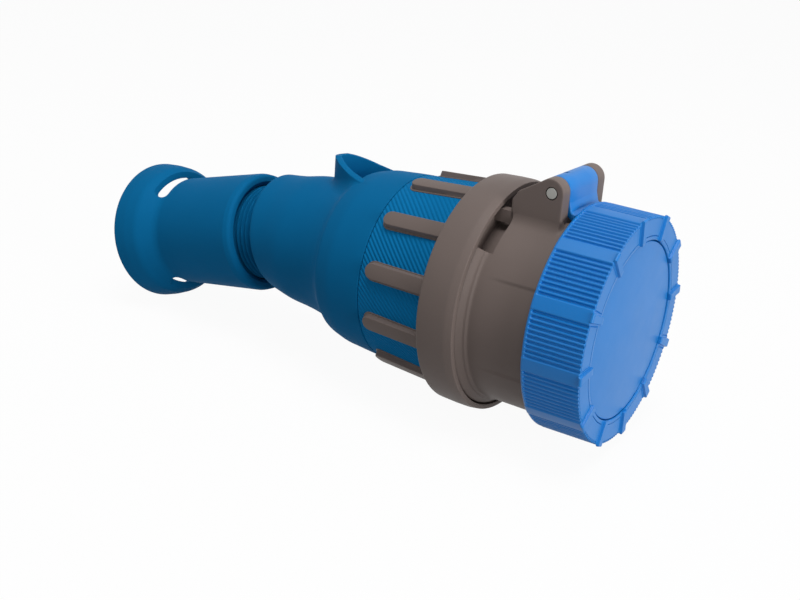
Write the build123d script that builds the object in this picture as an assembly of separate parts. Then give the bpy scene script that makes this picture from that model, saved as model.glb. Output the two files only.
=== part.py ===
from build123d import *
import os

# Every length is in millimetres. X runs forward out of the mouth, Z up to the hinge, and the
# mouth's rim is X 0. Lengths called BACK are measured rearward from that rim.

# Front housing
MOUTH_R = 29.5
MOUTH_BORE = 26.8
SOCKET_DEPTH = 37.5
FLOOR_T = 4.0
TUBE_R = 32.4
TUBE_BACK = 10.5
FLANGE_R = 35.0
FLANGE_BACK = SOCKET_DEPTH - 1.4
FLANGE_T = 2.0
BEAD_R = 33.0
BEAD_BACK = FLANGE_BACK - 4.5
NECK_GROOVE_R = 31.2
NECK_GROOVE_W = 3.2
CATCH_R = 33.0
CATCH_W = 2.0
POCKET_R = 28.6
POCKET_LEN = 6.2
POCKET_ANGLES = (24, 49)
PANEL_ANGLES = (61, 113)
PANEL_DEPTH = 0.35
KEYWAY_W = 7.0
KEYWAY_R = 28.3
WEB_Z = (28.0, 31.9)
WEB_W = 3.2

# Hinge; the two outlines are taken from the pin's centre, rearward and up
EAR_SLOPE = [(4.1, 2.5), (10.4, -1.2), (11.8, -3.2), (12.4, -4.9)]
BARREL_FOOT = [(4.8, -1.5), (2.9, -3.3), (-1.1, -5.3), (-5.1, -8.3), (-6.6, -8.5), (-6.6, -6.7),
               (-5.5, -5.3), (-4.4, -3.5), (-3.8, -1.5)]
PIN_BACK = 18.1
PIN_Z = 39.7
PIN_R = 1.65
EAR_FACE = 14.0
EAR_T = 4.6
NOSE_R = 4.2
HINGE_RUN = 0.1
SIDE_GAP = 0.2
ARM_R = (30.3, 33.6)
ARM_HALF_W = 9.2
NOTCH_R = 29.9
NOTCH_HALF_W = 9.9
NOTCH_BACK = 22.5
COIL_R = 2.4
COIL_W = 6.0
COIL_WIRE = 0.4
COIL_TURNS = 4.5
COIL_ROOM = 0.7

# Bayonet between locking ring and front housing
RAMP_R = 31.8
RAMP_BACK = (2.0, 5.0)
RAMP_ANGLES = (20, 56)
LUG_R = 30.0
LUG_BACK = (6.0, 9.0)
LUG_HALF_ANGLE = 9

# Contacts
PITCH_R = 8.75
PIN_HALF = 2.5
EARTH_PIN_HALF = 3.5
CONTACT_RUN = 0.05
SLEEVE_WALL = 1.45
SLEEVE_BACK = 5.0
BORE_DEPTH = 36.0
SLIT_LEN = 16.0
SLIT_W = 0.8
TAIL_LEN = 13.5
CORE_DEPTH = 11.0
SCREW_FROM_END = 5.0
SHOULDER_T = 2.0
SPRING_T = 0.5
SPRING_W = 2.2
SPRING_BACK = 9.0
SCREW_R = 1.75
SCREW_HEAD_R = 2.9

# Contact carrier
CARRIER_R = 21.7
CARRIER_BACK = 2.0
FLANGE_FIT = 26.3
FLANGE_LEN = 3.5
PLATE_T = 3.5
CARRIER_SCREW_PITCH = 23.8
CARRIER_SCREW_R = 1.2
CARRIER_SCREW_HEAD = 2.0
CONTACT_SLACK = 0.1

# Keys that hold the rear housing in line with the carrier
KEY_W = 3.0
KEY_H = 1.1
KEY_LEAD = 0.3
KEY_LEN = 15.4
KEY_SLACK = 0.3

# Union nut and its grip
COLLAR_R = 37.4
COLLAR_FRONT = FLANGE_BACK - 2.6
COLLAR_REAR = COLLAR_FRONT + 12.5
NUT_BORE = 28.9
NUT_TAIL = COLLAR_REAR + 25.5
NUT_OUTER = (31.7, 30.1)
GRIP_OUTER = (33.3, 31.4)
RUN_GAP = 0.3
RIB_COUNT = 12
RIB_W = 5.4
RIB_TOP = (34.9, 33.6)
RIB_TIP = NUT_TAIL - 2.5
RIB_DRAFT = 14

# Rear housing and its hood; the lists are taken rearward from the band's front edge
SPIGOT_R = 28.6
SPIGOT_BORE = 26.6
SEAL_T = 1.0
SEAL_R = (27.0, 28.4)
BAND_GAP = 0.4
BAND_BACK = NUT_TAIL + BAND_GAP
REAR_OUTER = [(0, 31.3), (0.5, 31.6), (4.1, 31.2), (9.1, 30.8), (12.6, 30.5), (16.1, 29.7), (18.7, 28.9),
              (20.3, 27.6), (22.6, 26.0), (25.1, 25.1), (29.1, 24.2), (35.1, 23.4), (41.1, 22.9),
              (51.1, 21.0), (58.1, 20.2), (65.1, 19.6)]
REAR_INNER = [(13.1, 26.6), (17.1, 25.6), (25.1, 22.4), (35.1, 20.9), (49.1, 18.4)]
HOOD_PLAN = [(35.3, 1.2), (34.7, 2.8), (33.3, 4.4), (30.5, 6.3), (26.1, 8.2), (20.1, 9.7), (13.1, 10.5)]
HOOD_ROOF = [(36.3, 32.2), (33.1, 33.2), (24.1, 31.2), (13.1, 28.2)]
HOOD_WALL = 2.0

# Gland, drawn along its own axis that droops from the bend
BEND_BACK = BAND_BACK + 52.6
DROOP = 12
SHOULDER_U = 4.2
NECK_R = 15.0
THREAD_R = 17.0
NECK_END = 25.9
SEAL_SEAT_U = 8.9
SEAT_R = 9.0
NECK_BORE = 12.6
CABLE_R = 5.5
SEAL_U = (SEAL_SEAT_U + 0.1, SEAL_SEAT_U + 15.1)
WASHER_R = 16.6
WASHER_FACE = NECK_END + 1.9
CABLE_WAY = 8.0
NUT_U = 11.7
NUT_THREAD_R = 17.3
NUT_NOSE = [(11.7, 18.6), (12.0, 19.8), (12.8, 20.8), (14.0, 21.4)]
SLEEVE_END = (48.5, 20.1)
BELL = [(51.0, 21.1), (53.6, 22.5), (57.5, 24.3), (61.5, 25.2), (66.2, 25.8), (67.4, 25.5), (68.0, 24.7)]
BELL_WALL = 2.2
WEB_T = 2.6
WINDOW_U = (48.5, 56.0)
WINDOW_HALF_ANGLE = 43

# Lid and gasket
PLATE_R = 33.9
PLATE_X = (1.3, 4.3)
FACE_R = 27.3
FACE_X = 6.3
GASKET_R = (26.4, 29.9)
GASKET_GAP = 0.3
GASKET_SUNK = 1.0

# Locking ring
RING_BACK = 11.0
RING_X = 7.4
BAND_R = 36.0
KNURL_R = 35.4
GROOVE_DEPTH = 0.45
SKIRT_BORE = 34.3
WEB_BORE = 27.8
WEB_X = 4.6
SECTORS = 12
SECTOR_START = 6.5
BAR_HALF_ANGLE = 3.0
GROOVES = 10
PANEL_R = (28.9, 34.7)
PANEL_SINK = 0.5
LEDGE_R = 33.2
LEDGE_X = (-0.2, 0.9)
LEDGE_ANGLES = (60, 120, 240, 300)
LEDGE_HALF_ANGLE = 8


def turned(points):
    """Solid of revolution about X from (x, radius) points."""
    return revolve(make_face(Polyline(*points, close=True)), axis=Axis.X)


def tube(r_in, r_out, x0, x1):
    """Ring about X between two radii and two stations."""
    return turned([(x0, r_in), (x1, r_in), (x1, r_out), (x0, r_out)])


def rod(radius, x0, x1, y=0.0, z=0.0):
    """Round bar along X."""
    return Pos((x0 + x1) / 2, y, z) * Rot(Y=90) * Cylinder(radius, x1 - x0)


def wedge(r_in, r_out, x0, x1, a0, a1):
    """Part of a ring about X between two angles taken from +Z toward -Y."""
    face = make_face(Polyline((x0, r_in), (x1, r_in), (x1, r_out), (x0, r_out), close=True))
    return Rot(X=90 + a0) * revolve(face, axis=Axis.X, revolution_arc=a1 - a0)


def around(shape, angles):
    """Copies of a top shape turned about X."""
    return [Rot(X=a) * shape for a in angles]


def side_plate(points, y0, y1):
    """Plate with an (x, z) outline between two Y stations."""
    face = make_face(Polyline(*points, close=True))
    return Pos(0, y1, 0) * Rot(X=90) * extrude(face, y1 - y0)


def box(x0, x1, y0, y1, z0, z1):
    """Box between two corners."""
    return Pos((x0 + x1) / 2, (y0 + y1) / 2, (z0 + z1) / 2) * Box(x1 - x0, y1 - y0, z1 - z0)


def on_gland(shape):
    """Place a shape drawn with the bend at X 0 onto the drooping gland axis."""
    return Pos(-BEND_BACK, 0, 0) * Rot(Y=-DROOP) * shape


def back(points):
    """Turn (distance back, radius) pairs into (x, radius) pairs."""
    return [(-b, r) for b, r in points]


def behind(points):
    """Turn (distance behind the band's front edge, radius) pairs into (back, radius) pairs."""
    return [(BAND_BACK + b, r) for b, r in points]


def from_pin(points):
    """Turn (rearward, up) pairs taken from the hinge pin into (x, z) pairs."""
    return [(-PIN_BACK - b, PIN_Z + up) for b, up in points]


def hinge_outline(nose_r, foot):
    """Side outline shared by ears and barrel, closed along the foot points."""
    cx, cz = -PIN_BACK - 0.4, PIN_Z
    arc = [(cx + nose_r * k, cz + nose_r * m) for k, m in
           [(1.0, 0.0), (0.94, 0.34), (0.77, 0.64), (0.5, 0.87), (0.17, 0.985), (-0.2, 0.98), (-0.5, 0.866)]]
    return arc + from_pin(EAR_SLOPE) + foot


def ears():
    """Pair of hinge ears drilled for the pin, with the webs that tie them to the flange."""
    rear = PIN_BACK + EAR_SLOPE[-1][0]
    foot = [(-rear, WEB_Z[0]), (-PIN_BACK + NOSE_R - 0.4, WEB_Z[0])]
    plates = []
    for side in (-1, 1):
        y0, y1 = sorted((side * EAR_FACE, side * (EAR_FACE - EAR_T)))
        plates.append(side_plate(hinge_outline(NOSE_R, foot), y0, y1))
        w0, w1 = sorted((side * EAR_FACE, side * (EAR_FACE - WEB_W)))
        plates.append(box(-FLANGE_BACK - 0.5, -rear + 0.5, w0, w1, *WEB_Z))
    drill = Pos(-PIN_BACK, 0, PIN_Z) * Rot(X=90) * Cylinder(PIN_R, 4 * EAR_FACE)
    return [plate - drill for plate in plates]


def bayonet_ramps():
    """Two ramps on the mouth that the ring's lugs turn behind."""
    # a ramp's angles are counted from +Y toward +Z, which is 90 less on the wedge scale
    low, high = RAMP_ANGLES
    x0, x1 = -RAMP_BACK[1], -RAMP_BACK[0]
    return [wedge(MOUTH_R - 0.5, RAMP_R, x0, x1, low - 90 + k, high - 90 + k) for k in (0, 180)]


def drilled(body, x0, x1):
    """Body with the three holes that the carrier screws go through."""
    for screw in around(rod(CARRIER_SCREW_R, x0, x1, z=CARRIER_SCREW_PITCH), (0, 120, 240)):
        body -= screw
    return body


def front_housing():
    """Socket tube with mouth, flange, nut groove, ears, ramps and keyway."""
    groove_back = FLANGE_BACK + FLANGE_T
    catch_back = groove_back + NECK_GROOVE_W
    end = catch_back + CATCH_W
    cove = [(BEAD_BACK - 1.0, TUBE_R), (BEAD_BACK, BEAD_R), (BEAD_BACK + 0.8, BEAD_R - 0.4),
            (BEAD_BACK + 2.2, BEAD_R - 0.3), (BEAD_BACK + 3.6, BEAD_R + 0.5), (FLANGE_BACK, FLANGE_R)]
    outer = [(0, MOUTH_BORE), (0, MOUTH_R - 0.5), (0.5, MOUTH_R), (TUBE_BACK, MOUTH_R), (TUBE_BACK, TUBE_R)]
    outer += cove
    outer += [(groove_back, FLANGE_R), (groove_back, NECK_GROOVE_R), (catch_back, NECK_GROOVE_R),
              (catch_back, CATCH_R), (end, CATCH_R), (end, SPIGOT_BORE)]
    floor_rear = SOCKET_DEPTH + FLOOR_T
    inner = [(floor_rear, SPIGOT_BORE), (floor_rear, CARRIER_R + 0.2), (SOCKET_DEPTH, CARRIER_R + 0.2),
             (SOCKET_DEPTH, MOUTH_BORE)]
    body = turned(back(outer + inner))
    lo, hi = POCKET_ANGLES
    x0 = -FLANGE_BACK + 0.3
    x1 = x0 + POCKET_LEN
    for a0 in (lo, -hi):
        body -= wedge(POCKET_R, TUBE_R + 4, x0, x1, a0, a0 + hi - lo)
    body -= wedge(POCKET_R, TUBE_R + 4, x0, x1 - 0.9, -lo - 0.1, lo + 0.1)
    for a0 in (PANEL_ANGLES[0], -PANEL_ANGLES[1]):
        a1 = a0 + PANEL_ANGLES[1] - PANEL_ANGLES[0]
        body -= wedge(TUBE_R - PANEL_DEPTH, TUBE_R + 0.5, -BEAD_BACK + 4.6, -TUBE_BACK + 1.5, a0, a1)
    for piece in ears() + bayonet_ramps():
        body += piece
    body -= tube(0, MOUTH_BORE, -SOCKET_DEPTH, 1)
    gap = box(-NOTCH_BACK, 0.0, -NOTCH_HALF_W + 0.3, NOTCH_HALF_W - 0.3, 20, 60)
    body -= gap & tube(NOTCH_R, 60, -NOTCH_BACK, -TUBE_BACK + 1)
    body -= box(-SOCKET_DEPTH, 1, -KEYWAY_W / 2, KEYWAY_W / 2, -KEYWAY_R, -MOUTH_BORE + 2)
    return drilled(body, -floor_rear - 1, -SOCKET_DEPTH - 0.8)


# Each contact: name, angle from +Z toward -Y on the pitch circle, and half its pin's diameter
CONTACTS = [("line_contact", 60, PIN_HALF), ("neutral_contact", -60, PIN_HALF),
            ("earth_contact", 180, EARTH_PIN_HALF)]


def plate_rear():
    """Station of the back plate's rear face, measured back from the mouth."""
    return SOCKET_DEPTH + FLOOR_T + FLANGE_LEN + PLATE_T


def spigot_front():
    """Station of the rear housing's front end, just behind the body seal."""
    return FLANGE_BACK + FLANGE_T + NECK_GROOVE_W + CATCH_W + SEAL_T


def tail_end():
    """Station of the contacts' rear ends."""
    return plate_rear() + TAIL_LEN


def contact(pin_half):
    """Sleeve contact on the top of the pitch circle with split mouth, shoulder and terminal."""
    bore = pin_half + CONTACT_RUN
    outer = bore + SLEEVE_WALL
    seat = SOCKET_DEPTH + FLOOR_T + FLANGE_LEN
    end = tail_end()
    body = rod(outer, -end, -SLEEVE_BACK, z=PITCH_R)
    body += rod(outer + 0.8, -seat, -seat + SHOULDER_T, z=PITCH_R)
    body -= rod(bore, -SLEEVE_BACK - BORE_DEPTH, 0, z=PITCH_R)
    body -= box(-SLEEVE_BACK - SLIT_LEN, 0, -SLIT_W / 2, SLIT_W / 2, PITCH_R - 2 * outer, PITCH_R + 2 * outer)
    ring = tube(outer - SPRING_T, outer + 1, -SPRING_BACK - SPRING_W, -SPRING_BACK)
    body -= Pos(0, 0, PITCH_R) * ring
    body -= rod(pin_half - 0.3, -end - 1, -end + CORE_DEPTH, z=PITCH_R)
    upright = (Align.CENTER, Align.CENTER, Align.MIN)
    body -= Pos(-end + SCREW_FROM_END, 0, PITCH_R) * Cylinder(SCREW_R, 3 * outer, align=upright)
    return body


def contact_spring(pin_half):
    """Open spring ring seated flush in a sleeve's groove."""
    outer = pin_half + CONTACT_RUN + SLEEVE_WALL
    ring = tube(outer - SPRING_T, outer, -SPRING_BACK - SPRING_W, -SPRING_BACK)
    return Pos(0, 0, PITCH_R) * (ring - box(-50, 50, -0.8, 0.8, 0, 9))


def terminal_screw(pin_half):
    """Slotted terminal screw that stands radially in a contact's tail."""
    tail = PITCH_R + pin_half + CONTACT_RUN + SLEEVE_WALL
    at = Pos(-tail_end() + SCREW_FROM_END, 0, 0)
    base = (Align.CENTER, Align.CENTER, Align.MIN)
    shank = at * Pos(0, 0, PITCH_R + 0.6) * Cylinder(SCREW_R, tail + 1 - PITCH_R - 0.6, align=base)
    head = at * Pos(0, 0, tail + 0.6) * Cylinder(SCREW_HEAD_R, 2.0, align=base)
    slot = at * Pos(0, 0, tail + 1.8) * Box(9, 0.8, 2, align=base)
    return shank + head - slot


def key_slots(rear):
    """Notches at both sides of the carrier's flange for the rear housing's keys."""
    half = KEY_W / 2 + KEY_SLACK
    r0 = SPIGOT_BORE - KEY_H - KEY_SLACK
    front = -spigot_front() - KEY_LEAD + KEY_SLACK
    return [box(-rear, front, y0, y0 + 10, -half, half) for y0 in (r0, -r0 - 10)]


def contact_carrier():
    """Insulating insert whose base flange bears on the socket's floor."""
    front = SOCKET_DEPTH + FLOOR_T
    body = rod(CARRIER_R, -front - FLANGE_LEN, -CARRIER_BACK)
    body += rod(FLANGE_FIT, -front - FLANGE_LEN, -front)
    for _, angle, half in CONTACTS:
        sleeve = half + CONTACT_RUN + SLEEVE_WALL + CONTACT_SLACK
        hole = rod(half + 0.4, -SLEEVE_BACK - 1, 1, z=PITCH_R)
        hole += rod(sleeve, -front - FLANGE_LEN - 1, -SLEEVE_BACK + CONTACT_SLACK, z=PITCH_R)
        hole += rod(sleeve + 0.8, -front - FLANGE_LEN - 1, -front - FLANGE_LEN + SHOULDER_T, z=PITCH_R)
        body -= Rot(X=angle) * hole
    body = drilled(body, -plate_rear(), -front + 1)
    for slot in key_slots(front + FLANGE_LEN + 1):
        body -= slot
    return body


def carrier_back_plate():
    """Plate screwed behind the carrier to hold the contacts' shoulders."""
    front = SOCKET_DEPTH + FLOOR_T + FLANGE_LEN
    body = rod(FLANGE_FIT - 0.3, -front - PLATE_T, -front)
    for _, angle, half in CONTACTS:
        sleeve = half + CONTACT_RUN + SLEEVE_WALL + CONTACT_SLACK
        body -= Rot(X=angle) * rod(sleeve, -tail_end(), 0, z=PITCH_R)
    body = drilled(body, -tail_end(), 0)
    for slot in key_slots(plate_rear() + 1):
        body -= slot
    return body


def carrier_screws():
    """Three screws that clamp back plate and carrier to the housing floor."""
    rear = plate_rear()
    shank = rod(CARRIER_SCREW_R, -rear, -SOCKET_DEPTH - 1.2, z=CARRIER_SCREW_PITCH)
    head = rod(CARRIER_SCREW_HEAD, -rear - 1.5, -rear, z=CARRIER_SCREW_PITCH)
    slot = box(-rear - 3, -rear - 0.8, -3, 3, CARRIER_SCREW_PITCH - 0.3, CARRIER_SCREW_PITCH + 0.3)
    return Compound(around(shank + head - slot, (0, 120, 240)))


def hinge_pin():
    """Plain pin that ends flush with the ears."""
    return Pos(-PIN_BACK, 0, PIN_Z) * Rot(X=90) * Cylinder(PIN_R, 2 * EAR_FACE)


def lid_spring():
    """Torsion spring round the pin, one leg down to the notch and one against the arm."""
    frame = Plane(origin=(-PIN_BACK, -COIL_W / 2, PIN_Z), x_dir=(-1, 0, 0), z_dir=(0, 1, 0))
    path = frame * Helix(pitch=COIL_W / COIL_TURNS, height=COIL_W, radius=COIL_R)
    spring = sweep(Plane(origin=path @ 0, z_dir=path % 0) * Circle(COIL_WIRE), path=path)
    for end, foot in ((path @ 0, NOTCH_R + 0.2), (path @ 1, PIN_Z - 5.5)):
        length = PIN_Z - foot
        spring += Pos(end.X, end.Y, foot + length / 2) * Cylinder(COIL_WIRE, length)
    return spring


def body_seal():
    """Flat ring squeezed between front housing and spigot."""
    rear = spigot_front()
    return tube(SEAL_R[0], SEAL_R[1], -rear, -rear + SEAL_T)


def rib():
    """One rib of the union nut with drafted sides, a round tip and a flat sloping top."""
    foot = 29.6
    x1 = -COLLAR_REAR + 2.0
    centre = -RIB_TIP + RIB_W / 2
    plan = Pos((centre + x1) / 2, 0, 0) * Rectangle(x1 - centre, RIB_W)
    plan += Pos(centre, 0, 0) * Circle(RIB_W / 2)
    bar = extrude(Pos(0, 0, foot) * plan, 7.0, taper=RIB_DRAFT)
    top = [(-RIB_TIP - 1, foot - 1), (x1 + 1, foot - 1), (x1 + 1, RIB_TOP[0]), (-RIB_TIP - 1, RIB_TOP[1])]
    return bar & side_plate(top, -6, 6)


def ribs():
    """All ribs of the union nut."""
    pitch = 360 / RIB_COUNT
    return around(rib(), [pitch / 2 + pitch * k for k in range(RIB_COUNT)])


def union_nut():
    """Collar with an inner ridge behind the flange, a threaded tail and the ribs."""
    flange_rear = FLANGE_BACK + FLANGE_T
    ridge_rear = flange_rear + NECK_GROOVE_W - RUN_GAP
    wall = flange_rear + NECK_GROOVE_W + CATCH_W + RUN_GAP
    inner = [(FLANGE_BACK, FLANGE_R + RUN_GAP), (flange_rear + RUN_GAP, FLANGE_R + RUN_GAP),
             (flange_rear + RUN_GAP, NECK_GROOVE_R + RUN_GAP), (ridge_rear, NECK_GROOVE_R + RUN_GAP),
             (ridge_rear, CATCH_R + RUN_GAP), (wall, CATCH_R + RUN_GAP), (wall, NUT_BORE),
             (NUT_TAIL, NUT_BORE)]
    outer = [(NUT_TAIL, NUT_OUTER[1]), (COLLAR_REAR, NUT_OUTER[0]), (COLLAR_REAR, COLLAR_R - 0.8),
             (COLLAR_REAR - 0.6, COLLAR_R - 0.3), (FLANGE_BACK, COLLAR_R),
             (COLLAR_FRONT + 0.8, COLLAR_R - 0.1), (COLLAR_FRONT, COLLAR_R - 0.8),
             (COLLAR_FRONT + 0.1, COLLAR_R - 1.3)]
    body = turned(back(inner + outer))
    for one in ribs():
        body += one
    return body


def union_grip():
    """Soft sleeve moulded round the nut's tail between the ribs."""
    body = turned(back([(NUT_TAIL, NUT_OUTER[1]), (COLLAR_REAR, NUT_OUTER[0]), (COLLAR_REAR, GRIP_OUTER[0]),
                        (NUT_TAIL - 0.5, GRIP_OUTER[1]), (NUT_TAIL, GRIP_OUTER[1] - 0.4)]))
    for one in ribs():
        body -= one
    return body


def hood():
    """Scoop wall that stands over the step of the rear housing."""
    half = back(behind(HOOD_PLAN))
    plan = make_face(Polyline(*half, *[(x, -y) for x, y in reversed(half)], close=True))
    x, half_w = half[-2]
    inner = offset(plan, amount=-HOOD_WALL)
    inner += Pos(x + half_w - 1, 0, 0) * Rectangle(2 * half_w, 2 * (half_w - HOOD_WALL))
    crown = behind(HOOD_ROOF)
    roof = turned(back([(crown[-1][0], 0), (crown[0][0], 0)] + crown))
    return extrude(plan - inner, 2 * SPIGOT_R) & roof


def rear_housing():
    """Rear body with spigot, hood, shoulder and the threaded neck of the gland."""
    spigot = spigot_front()
    outer = behind(REAR_OUTER)
    inner = behind(REAR_INNER)
    skin = [(spigot, 0), (spigot, SPIGOT_R), (BAND_BACK, SPIGOT_R)] + outer + [(outer[-1][0], 0)]
    body = turned(back(skin))
    shoulder = back([(-100, 0), (-100, 60), (-6, 60), (0, 22.4), (1.8, 21.2), (3.2, 19.4), (SHOULDER_U, 17.0),
                     (SHOULDER_U, 0)])
    body = body & on_gland(turned(shoulder))
    body += hood()
    neck = [(-2, 0), (-2, NECK_R), (5.0, NECK_R), (6.2, THREAD_R), (NECK_END - 0.6, THREAD_R),
            (NECK_END, THREAD_R - 0.6), (NECK_END, 0)]
    body += on_gland(turned(back(neck)))
    room = [(spigot - 1, 0), (spigot - 1, SPIGOT_BORE)] + inner + [(inner[-1][0], 0)]
    body -= turned(back(room))
    body -= on_gland(rod(SEAT_R, -SEAL_SEAT_U - 1, 14))
    body -= on_gland(rod(NECK_BORE, -NECK_END - 1, -SEAL_SEAT_U))
    r0 = SPIGOT_BORE - KEY_H
    for y0 in (r0, -SPIGOT_BORE - 0.5):
        front = -spigot - KEY_LEAD
        body += box(front - KEY_LEN, front, y0, y0 + KEY_H + 0.5, -KEY_W / 2, KEY_W / 2)
    return body


def cable_seal():
    """Rubber bush that the gland squeezes round a cable."""
    r_out = NECK_BORE - CONTACT_SLACK
    edge = 0.8
    rows = [(SEAL_U[0], CABLE_R), (SEAL_U[0], r_out - edge), (SEAL_U[0] + edge, r_out),
            (SEAL_U[1] - edge, r_out), (SEAL_U[1], r_out - edge), (SEAL_U[1], CABLE_R)]
    return on_gland(turned(back(rows)))


def thrust_washer():
    """Stepped washer between the gland nut's web and the seal."""
    step = NECK_END + 0.3
    rows = [(SEAL_U[1] + 0.1, CABLE_WAY), (SEAL_U[1] + 0.1, NECK_BORE - RUN_GAP), (step, NECK_BORE - RUN_GAP),
            (step, WASHER_R), (WASHER_FACE, WASHER_R), (WASHER_FACE, CABLE_WAY)]
    return on_gland(turned(back(rows)))


def gland_nut():
    """Long gland nut that opens into a windowed bell."""
    web = WASHER_FACE + 0.1
    outer = NUT_NOSE + [SLEEVE_END] + BELL
    inside = [(u, r - BELL_WALL) for u, r in reversed([SLEEVE_END] + BELL[:5])]
    lip = [(BELL[-1][0] - 0.3, BELL[-1][1] - 0.9)]
    bore = [(web + WEB_T, SLEEVE_END[1] - BELL_WALL), (web + WEB_T, CABLE_WAY), (web, CABLE_WAY),
            (web, NUT_THREAD_R), (NUT_U + 1.0, NUT_THREAD_R), (NUT_U, NUT_THREAD_R + 0.9)]
    body = turned(back(outer + lip + inside + bore))
    for a in (0, 180):
        body -= wedge(10, 40, -WINDOW_U[1], -WINDOW_U[0], a - WINDOW_HALF_ANGLE, a + WINDOW_HALF_ANGLE)
    return on_gland(body)


def lid_arm():
    """Arm that runs back under the ring and rises to the hinge barrel."""
    foot = from_pin(BARREL_FOOT)
    arm = tube(ARM_R[0], ARM_R[1], foot[3][0], PLATE_X[0] + 1)
    arm = arm & box(-PIN_BACK, PLATE_X[1], -ARM_HALF_W, ARM_HALF_W, 0, ARM_R[1] + 1)
    half_w = EAR_FACE - EAR_T - SIDE_GAP
    outline = hinge_outline(NOSE_R, foot)
    outline = [p for p in outline if p in foot or p[0] > foot[0][0] + 0.6]
    barrel = side_plate(outline, -half_w, half_w)
    barrel -= Pos(-PIN_BACK, 0, PIN_Z) * Rot(X=90) * Cylinder(PIN_R + HINGE_RUN, 4 * half_w)
    room_r = COIL_R + COIL_ROOM
    room_w = COIL_W / 2 + COIL_ROOM
    barrel -= Pos(-PIN_BACK, 0, PIN_Z) * Rot(X=90) * Cylinder(room_r, 2 * room_w)
    barrel -= box(-PIN_BACK - room_r, -PIN_BACK + room_r, -room_w, room_w, ARM_R[0], PIN_Z)
    barrel -= box(-PIN_BACK - 2.6 * room_r, -PIN_BACK, -room_w, room_w, ARM_R[0], PIN_Z - 1)
    return arm + barrel


def lid():
    """Lid plate with its raised face, gasket groove and hinge arm."""
    x0, x1 = PLATE_X
    body = turned([(x0, 0), (x0, PLATE_R), (x1, PLATE_R), (x1, FACE_R), (FACE_X - 0.3, FACE_R),
                   (FACE_X, FACE_R - 0.3), (FACE_X, 0)])
    body -= tube(GASKET_R[0], GASKET_R[1], x0 - 1, x0 + GASKET_SUNK)
    return body + lid_arm()


def lid_gasket():
    """Flat gasket set in the lid, just off the mouth's rim when the lid is loose."""
    return tube(GASKET_R[0], GASKET_R[1], GASKET_GAP, PLATE_X[0] + GASKET_SUNK)


def knurl_outline():
    """Cross-section of the ring's outside: smooth bands with grooved sectors between them."""
    pitch = 360 / SECTORS
    span = pitch - 2 * BAR_HALF_ANGLE
    rows = []
    for k in range(SECTORS):
        mid = SECTOR_START + pitch * k
        for t in (-1, -0.33, 0.33, 1):
            rows.append((BAND_R, mid + t * BAR_HALF_ANGLE))
        start = mid + BAR_HALF_ANGLE
        for j in range(GROOVES):
            for t, depth in ((0.08, 0), (0.42, 0), (0.58, GROOVE_DEPTH), (0.92, GROOVE_DEPTH)):
                rows.append((KNURL_R - depth, start + span * (j + t) / GROOVES))
    return [(Rot(X=a) * Pos(0, 0, r)).position for r, a in rows]


def locking_ring():
    """Ring with knurled sectors, bars, bayonet lugs and snap ledges that hold it on the lid."""
    face = make_face(Polyline(*knurl_outline(), close=True))
    body = Pos(-RING_BACK, 0, 0) * extrude(face, RING_X + RING_BACK, dir=(1, 0, 0))
    body += rod(BAND_R, -RING_BACK, -RING_BACK + 0.7)
    body -= rod(SKIRT_BORE, -RING_BACK - 1, WEB_X)
    body -= rod(WEB_BORE, -RING_BACK - 1, RING_X + 1)
    pitch = 360 / SECTORS
    a0 = SECTOR_START + BAR_HALF_ANGLE
    span = pitch - 2 * BAR_HALF_ANGLE
    for k in range(SECTORS):
        start = a0 + pitch * k
        body -= wedge(*PANEL_R, RING_X - PANEL_SINK, RING_X + 1, start, start + span)
    lug = (LUG_R, SKIRT_BORE + 0.4, -LUG_BACK[1], -LUG_BACK[0])
    for mid in (-90, 90):
        body += wedge(*lug, mid - LUG_HALF_ANGLE, mid + LUG_HALF_ANGLE)
    for mid in LEDGE_ANGLES:
        body += wedge(LEDGE_R, SKIRT_BORE + 0.4, *LEDGE_X, mid - LEDGE_HALF_ANGLE, mid + LEDGE_HALF_ANGLE)
    return body


def placed(maker):
    """Shapes made for the three contacts, each turned to its place on the pitch circle."""
    return [Rot(X=angle) * maker(half) for _, angle, half in CONTACTS]


def main():
    """Build every node and write it to the parts folder."""
    nodes = {
        "front_housing": front_housing(),
        "contact_carrier": contact_carrier(),
        "carrier_back_plate": carrier_back_plate(),
        "contact_springs": Compound(placed(contact_spring)),
        "terminal_screws": Compound(placed(terminal_screw)),
        "carrier_screws": carrier_screws(),
        "hinge_pin": hinge_pin(),
        "lid_spring": lid_spring(),
        "body_seal": body_seal(),
        "union_nut": union_nut(),
        "union_grip": union_grip(),
        "rear_housing": rear_housing(),
        "cable_seal": cable_seal(),
        "thrust_washer": thrust_washer(),
        "gland_nut": gland_nut(),
        "lid": lid(),
        "lid_gasket": lid_gasket(),
        "locking_ring": locking_ring(),
    }
    for (name, _, _), shape in zip(CONTACTS, placed(contact)):
        nodes[name] = shape
    os.makedirs("parts", exist_ok=True)
    for name, shape in nodes.items():
        export_step(shape, f"parts/{name}.step")


main()
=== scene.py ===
"""Looks of a cable-mounted pin and sleeve socket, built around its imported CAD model.

Sizes inside the classes are millimetres on the part's own axes, turned into metres where a mesh is made.
X runs forward out of the mouth, Z up to the hinge, and angles about X are taken from +Z toward -Y.
"""

import logging
import math
from dataclasses import dataclass
from enum import Enum

import bmesh
import bpy
import numpy as np
from mathutils import Matrix


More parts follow.
